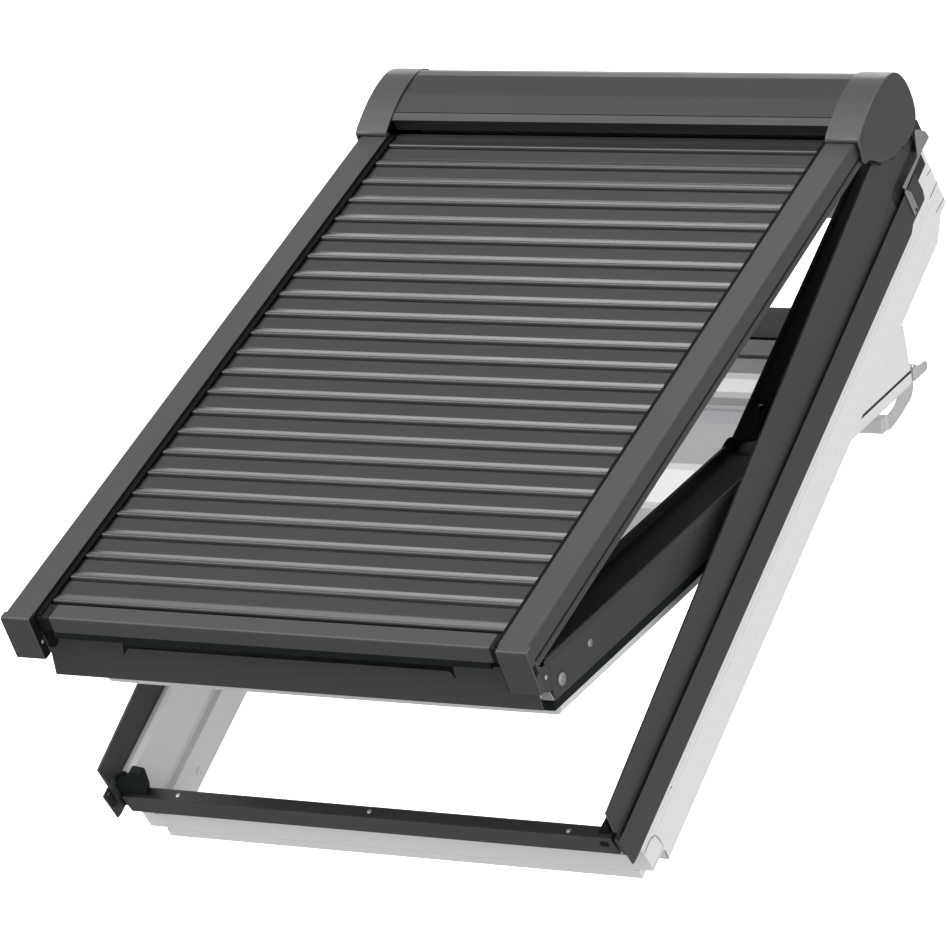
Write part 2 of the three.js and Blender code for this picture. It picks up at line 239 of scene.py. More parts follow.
graphite = powder_coat("graphite coat", (0.046, 0.0465, 0.048), (0.058, 0.0585, 0.06),
                       (0.19, 0.19, 0.192), 0.4)
# A darker copy of the powder coat for parts that lie in shade: painted shade.
painted_shade_coat = powder_coat("painted shade coat", (0.013, 0.0133, 0.0142), (0.02, 0.0203, 0.0212),
                          (0.05, 0.05, 0.052), 0.5)
hood_coat = powder_coat("hood coat", (0.0255, 0.0258, 0.0266), (0.0315, 0.0318, 0.0326),
                        (0.09, 0.09, 0.092), 0.38)
cover_coat = powder_coat("cover coat", (0.040, 0.0405, 0.042), (0.052, 0.0525, 0.054),
                         (0.10, 0.10, 0.102), 0.48)
slat_finish = slat_coat("slat coat")
black_plastic = rubber("black plastic", (0.0045, 0.0065, 0.0065), (0.0075, 0.010, 0.0097), 0.55, 700.0)
seal_rubber = rubber("seal rubber", (0.0045, 0.008, 0.008), (0.008, 0.0125, 0.012), 0.65)
# Near black for sheets that lie in shade under the shutter: painted shade.
painted_shade_black = rubber("painted shade black", (0.0085, 0.0085, 0.0088), (0.0135, 0.0135, 0.0138), 0.65, 400.0)
grey_gap = rubber("grey joint", (0.13, 0.13, 0.13), (0.2, 0.2, 0.198), 0.6, 400.0)
white_finish = white_paint("white lacquer")
steel = bare_metal("zinc steel", (0.42, 0.43, 0.44), (0.62, 0.63, 0.64), 0.36, (1.0, 6.0, 6.0))
handle_metal = bare_metal("handle metal", (0.86, 0.89, 0.9), (0.97, 0.985, 0.99), 0.3, (0.1, 8.0, 8.0))
bracket_metal = bare_metal("bracket metal", (0.36, 0.365, 0.37), (0.5, 0.505, 0.51), 0.45,
                           (6.0, 1.0, 1.0))
# Near black for the slats' lip, also laid on the rail's wall below it as painted shade.
liner_and_channel_shade = rubber("liner and channel shade", (0.0018, 0.0024, 0.0024), (0.0035, 0.0048, 0.0047), 0.85)
dark_steel = bare_metal("blackened steel", (0.02, 0.02, 0.02), (0.05, 0.05, 0.05), 0.5, (1.0, 6.0, 6.0))
glass = pane_glass("window glass")

# Shapes

EDGE_TONE_RADIUS = 2.5
CREASE = math.radians(38.0)


def started():
    """An empty shape that can note its rounded edges, where the coats paint a lighter edge highlight and the
    white lacquer gathers grime.
    """
    bm = bmesh.new()
    bm.verts.layers.float.new("edge")
    return bm


def flat(points, axis, level, steps):
    """One face across an axis. A point's third number rounds its corner, in millimetres."""
    bm = started()
    edge_tone = bm.verts.layers.float["edge"]
    corners = [bm.verts.new((level, *p[:2]) if axis == "x" else (p[0], level, p[1])) for p in points]
    bm.faces.new(corners)
    for radius in sorted({p[2] for p in points if len(p) > 2}):
        chosen = [v for v, p in zip(corners, points) if len(p) > 2 and p[2] == radius]
        made = bmesh.ops.bevel(bm, geom=chosen, offset=radius, segments=steps, profile=0.5,
                               affect="VERTICES", material=-1)["verts"]
        for vert in made:
            near = all(e.other_vert(vert) in made and e.calc_length() < radius for e in vert.link_edges)
            vert[edge_tone] = float(near and radius < EDGE_TONE_RADIUS)
    return bm


def bevel(bm, edges, width, steps=2):
    """Rounds edges and notes the points inside each rounding, where the coats paint a lighter edge highlight
    and the white lacquer gathers grime.
    """
    made = bmesh.ops.bevel(bm, geom=list(edges), offset=width, segments=steps, profile=0.5,
                           affect="EDGES", material=-1, clamp_overlap=True)
    edge_tone = bm.verts.layers.float["edge"]
    rounding = set(made["faces"])
    for vert in made["verts"]:
        vert[edge_tone] = float(all(f in rounding for f in vert.link_faces))


def bevel_end(bm, side, width, steps=2):
    """Rounds the edges of the end face that looks to the right (1) or to the left (-1)."""
    bevel(bm, {e for f in bm.faces if side * f.normal.x > 0.999 for e in f.edges}, width, steps)


def swept(points, axis, low, high, trim=0.0, steps=3):
    """An outline pulled along an axis; trim rounds the edges of both ends."""
    bm = flat(points, axis, low, steps)
    grown = bmesh.ops.extrude_face_region(bm, geom=bm.faces[:])["geom"]
    far = [v for v in grown if isinstance(v, bmesh.types.BMVert)]
    bmesh.ops.translate(bm, verts=far, vec=ACROSS[axis] * (high - low))
    bmesh.ops.recalc_face_normals(bm, faces=bm.faces[:])
    if trim:
        ends = [f for f in bm.faces if abs(f.normal.dot(ACROSS[axis])) > 0.999]
        bevel(bm, {e for f in ends for e in f.edges}, trim)
    return bm


def block(x0, x1, s0, s1, n0, n1, trim=0.0):
    """A block with rounded edges."""
    bm = started()
    bmesh.ops.create_cube(bm, size=1.0)
    bmesh.ops.scale(bm, vec=(x1 - x0, s1 - s0, n1 - n0), verts=bm.verts[:])
    bmesh.ops.translate(bm, vec=((x0 + x1) / 2, (s0 + s1) / 2, (n0 + n1) / 2), verts=bm.verts[:])
    if trim:
        bevel(bm, bm.edges[:], trim)
    return bm


def lathed(profile, centre, axis, steps=24):
    """A profile of (radius, height) turned about an axis through a centre."""
    bm = started()
    line = [bm.verts.new((r, 0.0, h)) for r, h in profile]
    for first, second in zip(line, line[1:]):
        bm.edges.new((first, second))
    bmesh.ops.spin(bm, geom=bm.verts[:] + bm.edges[:], cent=(0, 0, 0), axis=(0, 0, 1),
                   dvec=(0, 0, 0), angle=math.tau, steps=steps, use_merge=True)
    bmesh.ops.remove_doubles(bm, verts=bm.verts[:], dist=0.001)
    bmesh.ops.recalc_face_normals(bm, faces=bm.faces[:])
    turn = Vector(axis).to_track_quat("Z", "Y").to_matrix().to_4x4()
    bmesh.ops.transform(bm, matrix=Matrix.Translation(centre) @ turn, verts=bm.verts[:])
    return bm


def rod(radius, x0, x1, s, n):
    """A round bar along x, its ends chamfered by 1 mm."""
    length = x1 - x0
    profile = [(0, 0), (radius - 1, 0), (radius, 1), (radius, length - 1), (radius - 1, length), (0, length)]
    return lathed(profile, (x0, s, n), (1, 0, 0), 32)


def screw(centre, axis, radius, height):
    """A domed screw head with a socket in it."""
    profile = [(0, height * 0.25), (radius * 0.36, height * 0.3), (radius * 0.42, height * 0.92),
               (radius * 0.7, height * 0.85), (radius * 0.95, height * 0.45), (radius, 0), (0, -0.4)]
    return lathed(profile, centre, axis, 18)


def joined(*shapes):
    """Several shapes in one mesh."""
    whole = bmesh.new()
    for shape in shapes:
        mesh = bpy.data.meshes.new("shape")
        shape.to_mesh(mesh)
        shape.free()
        whole.from_mesh(mesh)
        bpy.data.meshes.remove(mesh)
    return whole


def moved(line, distance):
    """An open line moved to its right by a distance, at every point."""
    shifted = []
    for i, point in enumerate(line):
        before, after = line[max(i - 1, 0)], line[min(i + 1, len(line) - 1)]
        ds, dn = after[0] - before[0], after[1] - before[1]
        length = math.hypot(ds, dn)
        shifted.append((point[0] + distance * dn / length, point[1] - distance * ds / length, *point[2:]))
    return shifted


def sheet(line, thickness, soft=0.0):
    """The outline of a sheet on the right of a line, its bends softened."""
    both = line + moved(line, thickness)[::-1]
    ends = {0, len(line) - 1, len(line), len(both) - 1}
    return [p[:2] if i in ends else (*p, soft) if soft and len(p) < 3 else p for i, p in enumerate(both)]


def softened(line, radius):
    """The inner points of a line, with rounded corners."""
    return [line[0]] + [(*p, radius) for p in line[1:-1]] + [line[-1]]


def piece(name, bm, look, body, nodes=(), mirror=False):
    """Turns a shape into a piece that rides on a body and stands for CAD nodes."""
    if mirror:
        bmesh.ops.scale(bm, vec=(-1, 1, 1), verts=bm.verts[:])
    bmesh.ops.remove_doubles(bm, verts=bm.verts[:], dist=0.0005)
    if mirror:
        bmesh.ops.recalc_face_normals(bm, faces=bm.faces[:])
    bm.normal_update()
    for face in bm.faces:
        face.smooth = True
    for edge in bm.edges:
        edge.smooth = edge.calc_face_angle(math.pi) < CREASE
    bmesh.ops.transform(bm, matrix=tilt(body), verts=bm.verts[:])
    mesh = bpy.data.meshes.new(name)
    bm.to_mesh(mesh)
    bm.free()
    mesh.materials.append(look)
    made = bpy.data.objects.new(name, mesh)
    bpy.context.scene.collection.objects.link(made)
    shading = made.modifiers.new("Flats", "WEIGHTED_NORMAL")
    shading.keep_sharp = True
    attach(made, body)
    if nodes:
        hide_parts(*nodes)


def pair(name, build, look, body, nodes=()):
    """A piece on the right and its mirror image on the left."""
    for side, mirror in (("right", False), ("left", True)):
        named = [f"{n}_{side}" for n in nodes]
        piece(f"{name}_{side}", build(), look, body, named, mirror)


def copied(node, body, width):
    """A CAD node's own shape with its edges rounded, in millimetres of its body's plane."""
    bm = bmesh.new()
    bm.from_mesh(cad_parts[node].data)
    bm.verts.layers.float.new("edge")
    bmesh.ops.transform(bm, matrix=tilt(body).inverted(), verts=bm.verts[:])
    bmesh.ops.remove_doubles(bm, verts=bm.verts[:], dist=0.01)
    bmesh.ops.dissolve_limit(bm, angle_limit=math.radians(1.0), verts=bm.verts[:], edges=bm.edges[:])
    sharp = [e for e in bm.edges if e.is_manifold and e.calc_face_angle(0.0) > math.radians(30)]
    bevel(bm, sharp, width)
    return bm


# Shutter box

HINGE = (83.0, -50.0)
HOOD_HALF = 349.7
CAP_INNER = 397.5
CAP_OUTER = 401.5
OVER_TOP = [(0, 0), (21, 4.4), (41, 7.6), (62, 8.8), (83, 8.4), (100, 6), (117, 2.6),
            (131, -3.5), (145, -14), (153, -28), (157.5, -44), (158.5, -60), (156, -80)]
UNDER_BOX = [(155.6, -81.4), (150.7, -95), (143, -105), (126, -111.5), (107, -109), (88, -103),
             (59.5, -92), (40, -79), (25, -66)]
THROAT = [(7.4, -44), (-4, -40), (-8.5, -34), (-3.7, -20.7)]


def box_end(pin_start, bearings=()):
    """End plate, the band round the box's end, and the pin that the shutter swings on."""
    front = [(0.4, -3.0), (3, 0.2, 1.8), (10, 2.7, 3.0), (21, 4.9, 6.0)]
    outline = front + softened(OVER_TOP[1:], 6.0)[1:] + softened(UNDER_BOX, 5.0)
    plate = swept(outline + [(*p, 2.5) for p in THROAT], "x", CAP_INNER, CAP_OUTER, 0.0, 5)
    bevel_end(plate, 1, 1.5, 3)
    band = swept(sheet(front + OVER_TOP[2:] + UNDER_BOX, 3.0, 5.0), "x", 350, 397.6, 0.0, 5)
    bevel_end(band, -1, 0.9)
    return joined(plate, band, rod(9, pin_start, 398, *HINGE), *bearings)


def box_end_gap_shade():
    """Black strips that paint the shade in the gap under the end plate and in two slots near its lower edge.
    """
    gap = swept([(4.7, -47.4), (8.5, -43.5), (31.5, -75.6), (27.5, -77)], "x", 396.4, 398.2)
    slots = [swept(sheet(line, 1.5), "x", 401.0, 401.65) for line in
             ([(84.5, -101.2), (91, -103.6)], [(53, -89.6), (59.5, -93)])]
    return joined(gap, *slots)


def box_sheet(line, thickness, trim, soft=0.0, steps=3):
    """A sheet of the box between its two ends."""
    return swept(sheet(line, thickness, soft), "x", -HOOD_HALF, HOOD_HALF, trim, steps)


piece("box_end_cap_right", box_end(345), graphite, "frame", ["box_end_right"])
piece("box_end_cap_left", box_end(344, [rod(21, 322, 346, *HINGE)]), graphite, "frame",
      ["box_end_left"], mirror=True)
pair("box_end_gap_shade", box_end_gap_shade, black_plastic, "frame")

INSET = moved(OVER_TOP + UNDER_BOX, 2.5)
LIP = [(25.2, 2.9), (37.5, 5.3)]
CREASE_STRIP = [(33, 2.4), (43, 3.4)]
FRONT = [(38.7, 5.5), (76, 6.0), (115, 1.6, 1.5), (131, -3.6)] + INSET[8:13]
MOUTH_FLAP = [(29, 0.9), (27, 0.9), (25, -16.6, 0.5), (27, -17, 0.5)]
hood = joined(box_sheet(FRONT, 2.0, 0.4, 5.0, 5), box_sheet(CREASE_STRIP, 1.0, 0.0))
piece("box_lip", box_sheet(LIP, 2.0, 0.5), cover_coat, "frame")
piece("box_hood", hood, hood_coat, "frame", ["box_cover"])
piece("box_underside", box_sheet(INSET[13:], 2.5, 0.4, 4.0, 4), cover_coat, "frame",
      ["box_back"])
# The flap in the box's mouth wears the darker coat: painted shade under the box's lip.
piece("box_mouth_flap", swept(MOUTH_FLAP, "x", -349, 349), painted_shade_coat, "frame")

# Shutter rails

RAIL_INNER = 350
RAIL_FOOT = -1053


def rail():
    """Channel for the ends of the slats, with a groove along its outer side."""
    section = [(RAIL_INNER, -43.5, 1), (392.5, -43.5, 1), (392.5, -39), (395, -38, 0.8), (395, -32, 0.8),
               (392, -31), (392, -28.5), (395, -27.5, 0.8), (395, -7, 1.4), (393, -5, 1.4),
               (RAIL_INNER, -5, 1.2), (RAIL_INNER, -9.7), (372, -9.7), (372, -36), (RAIL_INNER, -36)]
    return swept(section, "s", RAIL_FOOT, 10, 0.3)


def rail_cap():
    """The cap that closes the rail's lower end and reaches down to the sash."""
    section = [(-1053.3, -5), (-1066.5, -5, 3.6), (-1066.5, -73, 1.2), (-1055.5, -73, 1),
               (-1055.5, -43.5), (-1053.3, -43.5)]
    return swept(section, "x", 352, 397, 1.0, 6)


def rail_liner():
    """The black lip that holds the ends of the slats down, and a black sheet on the rail's wall behind it:
    painted shade in the channel.
    """
    section = [(341.8, -8.7, 0.4), (341.8, -9.85), (351, -9.85), (351, -5.7), (349.8, -5.3, 0.4),
               (349.4, -8.3, 0.8)]
    return joined(swept(section, "s", -1052.5, 9.5, 0.2), block(349.6, 350.4, -1052.5, 9.5, -43, -36))


def groove_shade_and_plug():
    """A black strip along the groove, painted shade in the groove, and the plug that ends it in the cap."""
    return joined(block(391.8, 393.4, -1052.8, 9.6, -31, -28.6),
                  block(396, 397.5, -1064, -1056.5, -45, -30, 0.6))


def cap_lining():
    """The black inner side of the cap, and the block that closes the gap beside the bar."""
    return joined(block(350, 352.2, -1065.8, -1054, -72.5, -7.5, 0.8),
                  block(343, 352, -1050, -1038, -66, -36.5, 1))


def cap_screw():
    return screw((350.2, -1059, -48), (-1, 0, 0), 3.2, 1.4)


pair("shutter_rail", rail, graphite, "shutter", ["rail"])
pair("rail_end_cap", rail_cap, graphite, "shutter", ["rail_cap"])
pair("rail_liner", rail_liner, liner_and_channel_shade, "shutter")
pair("rail_groove_shade_and_plug", groove_shade_and_plug, black_plastic, "shutter")
pair("rail_cap_lining", cap_lining, black_plastic, "shutter")
pair("rail_cap_screw", cap_screw, steel, "shutter")

# Curtain of slats

SLAT_COUNT = 24
SLAT_PITCH = 43.62
SLAT_HALF = 341.5
PLUG_END = 371.7
FIRST_NOSE = -2.9
FIRST_REACH = 24.9
LAST_NOSE = -1009.4
LAST_DROP = 7.2
NOSE_DROP = 6.2
HOOK_GAP = 0.6
NOSE_TOP = -10.0
RIDGE = [(-4.0, -3.3, 0.9), (-3.1, -1.0, 1.4), (-1.3, 0.0, 1.8), (2.7, -0.7, 2.0), (6.8, -1.65, 2.0),
         (10.6, -2.8, 1.6), (12.0, -3.1, 1.0)]
LAST_RIDGE = [(-4.0, -3.3, 0.9), (-3.2, -1.0, 1.4), (-1.5, 0.0, 1.6), (5.5, -1.35, 2.0),
              (12.5, -2.75, 2.0), (15.5, -3.1, 1.5)]


def slat_span(i):
    """Along the slope: the nose of slat i, and its upper edge under the slat above."""
    above = FIRST_NOSE - NOSE_DROP - (i - 1) * SLAT_PITCH
    nose = above - SLAT_PITCH if i < SLAT_COUNT - 1 else LAST_NOSE - LAST_DROP
    return nose, nose + FIRST_REACH + NOSE_DROP if i == 0 else above - HOOK_GAP


def slat(i, x0, x1):
    """Slat i from the lower edge of its ridge to its upper edge. The last ridge is wider."""
    nose, upper = slat_span(i)
    top = NOSE_TOP
    ridge = LAST_RIDGE if i == SLAT_COUNT - 1 else RIDGE
    over = [(nose - 4.0, top - 4.6)] + [(nose + s, top + n, soft) for s, n, soft in ridge]
    over += [(upper - 6.5, top - 3.2, 1.5), (upper - 4.2, top - 5.0, 1.2), (upper, top - 5.2)]
    under = [(nose - 2.2, top - 4.6), (nose - 1.4, top - 2.4), (nose + 3, top - 2.6), (nose + 8, top - 4),
             (nose + 13, top - 5.1), (upper - 7.4, top - 5.2), (upper - 4.8, top - 7.0),
             (upper, top - 7.2)]
    return swept(over + under[::-1], "x", x0, x1, 0.0, 4)


def slat_plugs():
    """The black plugs at the ends of all the slats, which run in the rail."""
    return joined(*[slat(i, SLAT_HALF, PLUG_END) for i in range(SLAT_COUNT)])


for i in range(SLAT_COUNT):
    piece(f"shutter_slat_{i + 1:02d}", slat(i, -SLAT_HALF, SLAT_HALF), slat_finish, "curtain",
          [f"slat_{i + 1:02d}"])
pair("slat_end_plugs", slat_plugs, black_plastic, "curtain")

BAR_TOP = -1027.0
BAR_LEFT = 328.3
BAR_RIGHT = 335.5
BAR = [(BAR_TOP, -10.3, 0.8), (-1054.6, -10.6, 3.2), (-1055.4, -34.5, 1), (-1048, -34.5), (BAR_TOP, -34),
       (BAR_TOP, -19.6), (BAR_TOP + 16, -19.6), (BAR_TOP + 16, -18.2), (BAR_TOP, -18.2)]
BAR_SEAL = [(-1047, -34.3), (-1055.8, -34.3, 0.8), (-1056.8, -43.5, 1.2), (-1053, -46, 1.2),
            (-1048, -40, 3)]


def bar_end(start):
    """The rounded black plug of the bar and the tongue that runs in the rail."""
    plug = swept([(*p[:2], 5.0) if p[0] < -1053 else p for p in BAR], "x", start, 349.6, 0.0, 5)
    bevel_end(plug, 1, 2.5, 3)
    return joined(plug, block(345, PLUG_END, -1049, BAR_TOP - 1, -30, -12, 0.5))


piece("curtain_bottom_bar", swept(BAR, "x", -BAR_LEFT, BAR_RIGHT, 0.5), graphite, "curtain",
      ["bottom_bar"])
piece("bottom_bar_seal", swept(BAR_SEAL, "x", -330, 330, 0.5), seal_rubber, "curtain")
piece("bottom_bar_end_right", bar_end(BAR_RIGHT), black_plastic, "curtain")
piece("bottom_bar_end_left", bar_end(BAR_LEFT), black_plastic, "curtain", mirror=True)

# Side covers of the frame

COVER_FOOT = -1059
RIDGE_FOOT = -119.8
RIDGE_RISE = 0.0508
FLANK_TOP = -100


def cover_ridge(s):
    """Height of the side cover's ridge, which rises a little up the slope."""
    return RIDGE_FOOT + (s - COVER_FOOT) * RIDGE_RISE


def side_cover():
    """Outer panel with its ridge, the flank inside it, and the gutter's wall, floor and lip."""
    under = [(p[0], p[1] - 0.5) for p in UNDER_BOX[:3:-1]]
    panel = [(COVER_FOOT, cover_ridge(COVER_FOOT)), (21, cover_ridge(21), 2), *under, (136, -111),
             (136, -127), (132.2, -129.7, 4), (117.4, -136.1, 8), (79.3, -135.9), (39.4, -137.7, 8),
             (27.6, -141, 8), (-29, -165, 10), (-62, -181), (COVER_FOOT, -185)]
    section = [(388.3, FLANK_TOP, 1), (385.6, -152, 1), (384.4, -159.7), (389.9, -159.7),
               (389.9, FLANK_TOP)]
    flank = swept(section, "s", COVER_FOOT, 20)
    for vert in flank.verts:
        if vert.co.z > -140:
            vert.co.z += cover_ridge(vert.co.y) - FLANK_TOP
    lip = [(-1071, -163.2), (-1069.5, -211.5, 2), (-1060, -213.5, 2), (28, -213.5), (42, -206.8, 3),
           (89.2, -208.4, 3), (93.6, -195), (92.4, -160, 2)]
    wall = [(-1058, -188), (-1058, -158.5), (-45, -158.5, 8), (-14, -153, 8), (27, -139), (32, -188)]
    return joined(swept(panel, "x", 389.8, 391.5, 0.4), flank, block(385, 389.9, 20, 136, -159.7, -118),
                  swept(lip, "x", 396.3, 398, 0.5), block(391.4, 396.4, -1067, 92, -190.5, -188.5),
                  swept(wall, "x", 391.3, 391.9))


def side_cover_dark():
    """Blocks in the darker coat: painted shade in the recess behind the cover's upper end, and the plug in
    the gutter's tip.
    """
    return joined(block(389.6, 390.6, -64, 134, -186, -118),
                  block(391.6, 396.3, -1066, -1061, -188.4, -166),
                  block(386, 397.4, 124, 150, -152, -113, 1))


def cover_bracket():
    """The steel bracket on the cover's upper end: a bent strip and a tab under it."""
    strip = [(51, -144), (112, -146, 4), (129.5, -116, 1), (133.5, -116, 1), (153, -139.5, 2),
             (155.5, -154, 1), (128.6, -151.7), (54.3, -153.3)]
    tab = [(51, -154), (56, -154), (64.2, -167.9, 3), (63.6, -199.3, 2), (49.6, -200.5, 2)]
    return joined(*[swept(shape, "x", 398.3, 400.1, 0.4) for shape in (strip, tab)])


def bracket_bolt():
    return screw((400, 57.9, -196.3), (1, 0, 0), 2.6, 0.8)


TRIM_FOOT = -402.5
TRIM = [(300, -172), (306, -172), (306, -166), (376.7, -151), (376.7, -147), (309, -159.3),
        (300, -161, 1)]
TRIM_BEAD = [(300.2, -160.8), (303, -158, 1.2), (309, -157.4, 1.2), (312, -158.8)]

pair("frame_side_cover", side_cover, cover_coat, "frame", ["side_cover"])
pair("side_cover_recess", side_cover_dark, painted_shade_coat, "frame")
pair("side_cover_bracket", cover_bracket, bracket_metal, "frame")
pair("bracket_bolt", bracket_bolt, black_plastic, "frame")
# The upper trim is dark, and coloured near black as painted shade under the box.
pair("upper_sash_trim", lambda: swept(TRIM, "s", TRIM_FOOT, 112.4, 0.4), painted_shade_black, "frame",
     ["upper_trim"])
pair("upper_trim_bead", lambda: swept(TRIM_BEAD, "s", TRIM_FOOT, 100, 0.4), seal_rubber, "frame")

# Sill cover and corner plugs. The flap of the closing sash enters the slot.

SLOT = (369.6, 374.6)
SILL_TOP = -182.5
SILL = [(-1054, -184.2, 0.9), (-1052, -217, 0.6), (-1034.8, -217), (-1034.8, -183),
        (-1036.6, -182.7, 0.6)]
SILL_SCREWS = ((-298, -1044), (3, -1043), (305, -1046))
LEFT_PLUG = [(-351, -133, 3), (-333, -137, 3), (-340, -168, 3), (-346, -182, 3), (-373, -211, 3),
             (-380, -214, 2), (-384.5, -210, 2), (-395, -211, 2), (-402, -199, 2), (-402, -184, 3),
             (-397, -172, 3), (-384, -156, 3), (-372, -146, 2), (-367, -152, 2)]
RIGHT_PLUG = [(369, -154.5, 2), (367.5, -180, 3), (355, -196, 3), (337, -213, 2), (340, -198, 3),
              (350, -180, 3)]
sill_strip = joined(swept(SILL, "x", -385, SLOT[0], 0.5), swept(SILL, "x", SLOT[1], 385, 0.5))
# The sill's top in the darker coat: painted shade.
sill_top = joined(block(-384, SLOT[0], -1053, -1036.8, -184.4, SILL_TOP, 0.4),
                  block(SLOT[1], 384, -1053, -1036.8, -184.4, SILL_TOP, 0.4),
                  block(SLOT[0] - 0.2, SLOT[1] + 0.2, -1036.2, -1034.9, -216, -183))
sill_screws = joined(*[screw((x, s, SILL_TOP - 0.1), (0, 0, 1), 3.6, 1.2) for x, s in SILL_SCREWS])
right_plug = joined(swept(RIGHT_PLUG, "s", -1046, -1036, 1.5),
                    block(350, 361, -1055.2, -1052, -199, -191, 0.8))

piece("sill_strip", sill_strip, cover_coat, "frame", ["sill_cover"])
piece("sill_top", sill_top, painted_shade_coat, "frame")
piece("sill_screws", sill_screws, bracket_metal, "frame")
piece("corner_plug_left", swept(LEFT_PLUG, "s", -1048, -1036, 2.0), seal_rubber, "frame")
piece("corner_plug_right", right_plug, seal_rubber, "frame")

# White members of the frame

MEMBER_OUTER = 389.5
MEMBER_FOOT = -1034.5
JOINT_DEPTH = 1.0


def frame_member():
    """Side member: two grooves along the outside, a chamfered inner edge and a grooved inner wall."""
    upper = [(361, -244, 0.8), (361, -272.6), (MEMBER_OUTER, -272.6), (MEMBER_OUTER, -242.4, 0.4),
             (387.6, -241.6), (387.6, -240.8), (MEMBER_OUTER, -240, 0.4), (MEMBER_OUTER, -233.4, 0.4),
             (387.6, -232.6), (387.6, -231.8), (MEMBER_OUTER, -231, 0.4), (MEMBER_OUTER, -160, 1),
             (377, -158.6, 1), (369.6, -162, 1.5), (369.6, -167), (370, -176, 1), (370, -235.6),
             (371, -236), (371, -237.2), (370, -237.6), (370, -244)]
    lower = [(361, -295.5, 2), (361, -272.5), (MEMBER_OUTER, -272.5), (MEMBER_OUTER, -274),
             (388.8, -274.6), (MEMBER_OUTER, -275.2), (MEMBER_OUTER, -295.5, 2)]
    foot = swept(lower, "s", -998, 92, 0.6)
    for vert in foot.verts:
        if vert.co.y > 0:
            vert.co.y += (vert.co.z + 291) * 1.6
    corner = [(-1034, -237, 1), (-1009, -236, 9), (-996.3, -255, 9), (-996.3, -268.8, 0.8),
              (-1034, -268.8, 1)]
    collar = [(0, 1.0), (3, 1.0), (3.4, 2.0), (6, 1.8), (7, 0.5), (7, -1)]
    return joined(swept(upper, "s", MEMBER_FOOT, 143.5, 0.8), foot, swept(corner, "x", 389, 390.2, 0.5),
                  lathed(collar, (361, -934.7, -277.9), (-1, 0, 0), 20))


def bottom_member():
    """Bottom member in three bars of different length, with a groove along the front."""
    front = [(MEMBER_FOOT, -213), (MEMBER_FOOT, -242.6), (-1004, -242.6), (-1004, -234, 2),
             (-1021, -213, 2)]
    middle = [(MEMBER_FOOT, -242.5), (MEMBER_FOOT, -276.2, 0.4), (-1032.3, -277), (-1004, -277),
              (-1004, -242.5)]
    lower = [(-1032.3, -276.9), (MEMBER_FOOT, -277.9, 0.4), (MEMBER_FOOT, -292, 1.8), (-1020, -292, 1),
             (-1020, -276.9)]
    return joined(swept(front, "x", -343, 343), swept(middle, "x", -360.7, 360.7),
                  swept(lower, "x", -366, 366, 0.5))


def joint_lines():
    """Thin grey joints: around the corner block, at the steps of the upper end, and under the flank."""
    corner = [(-1033, -236.2), (-1009.5, -235.2), (-999, -242), (-995.6, -255), (-995.6, -269.4),
              (-1033, -269.4)]
    steps = [[(128.2, -201.6), (143, -204.1)], [(113.3, -230.3), (143.5, -230.2)],
             [(111.6, -258.9), (143, -262.1)]]
    marks = [[(-930.5, -231.3), (-927.5, -231.3)], [(-996.6, -277), (-998.3, -292)]]
    lines = [swept(sheet(line, JOINT_DEPTH), "x", 389.2, 389.95) for line in [corner, *steps, *marks]]
    return joined(*lines, block(378, 384.3, -1033, 130, -160.6, -159.4, 0.3))


pair("member_joint_lines", joint_lines, grey_gap, "frame")
pair("frame_member", frame_member, white_finish, "frame", ["frame"])
piece("frame_bottom_member", bottom_member(), white_finish, "frame", ["frame_bottom"])
piece("frame_top_member", copied("frame_top", "frame", 1.0), white_finish, "frame",
      ["frame_top"])

# Sash

PIVOT = (-394, -116)
STILE_FOOT = -901
STILE_GROOVE = (-403.4, -399.4)


def to_sash(s, n):
    """A point of the frame's plane, as s and n of the sash's plane."""
    a = math.radians(FRAME_PITCH - SASH_PITCH)
    return s * math.cos(a) - n * math.sin(a), s * math.sin(a) + n * math.cos(a)


def sash_stile():
    """Stile: rebated for the glass, grooved outside, its lower edge rounded under."""
    section = [(300, -424, 1), (300, -350.3), (313, -350.3), (313, -332), (347.5, -332, 1),
               (347.5, -399.8, 0.5), (345.2, -400.6), (345.2, -402.4), (347.5, -403.2, 0.8),
               (347.2, -418, 3), (343, -424, 3)]
    return swept(section, "s", STILE_FOOT, 142, 0.8)


# A dark strip flush in the stile's groove, in the darker coat: painted shade in the groove.
def stile_groove_shade():
    return block(345.4, 347.7, STILE_FOOT + 1, 141, *STILE_GROOVE)


def pivot_lug():
    """The lug on the stile that carries the pivot, with its foot."""
    s, n = to_sash(*PIVOT)
    lug = [(s - 18, -345), (s - 16, n, 6), (s - 9, n + 15, 8), (s + 9, n + 15, 8), (s + 16, n, 6),
           (s + 18, -345)]
    return joined(swept(lug, "x", 358, 364, 0.6), block(346.5, 364, s - 18, s + 18, -345, -335, 0.6))


pair("sash_pivot_lug", pivot_lug, dark_steel, "sash")
pair("sash_stile", sash_stile, white_finish, "sash", ["sash"])
for name in ("sash_bottom", "sash_top"):
    piece(f"{name}_rail", copied(name, "sash", 1.0), white_finish, "sash", [name])
piece("window_pane", copied("glazing", "sash", 0.4), glass, "sash", ["glazing"])

TOP_HALF = 298
TOP_COVER = [(39, -316, 0.8), (39, -312, 1.2), (146.8, -312, 1.2), (146.8, -345, 0.8), (144.8, -345),
             (144.8, -315), (41.5, -315), (41.5, -316)]
top_face = block(-TOP_HALF, TOP_HALF, 39.6, 42, -339.7, -315.6, 0.3)
# The sash's top cover in near black: painted shade under the shutter.
piece("sash_top_cover", swept(TOP_COVER, "x", -TOP_HALF, TOP_HALF, 0.4), painted_shade_black, "sash",
      ["sash_cover_top"])
piece("sash_top_face", top_face, white_finish, "sash")

COVER_TOP = -325
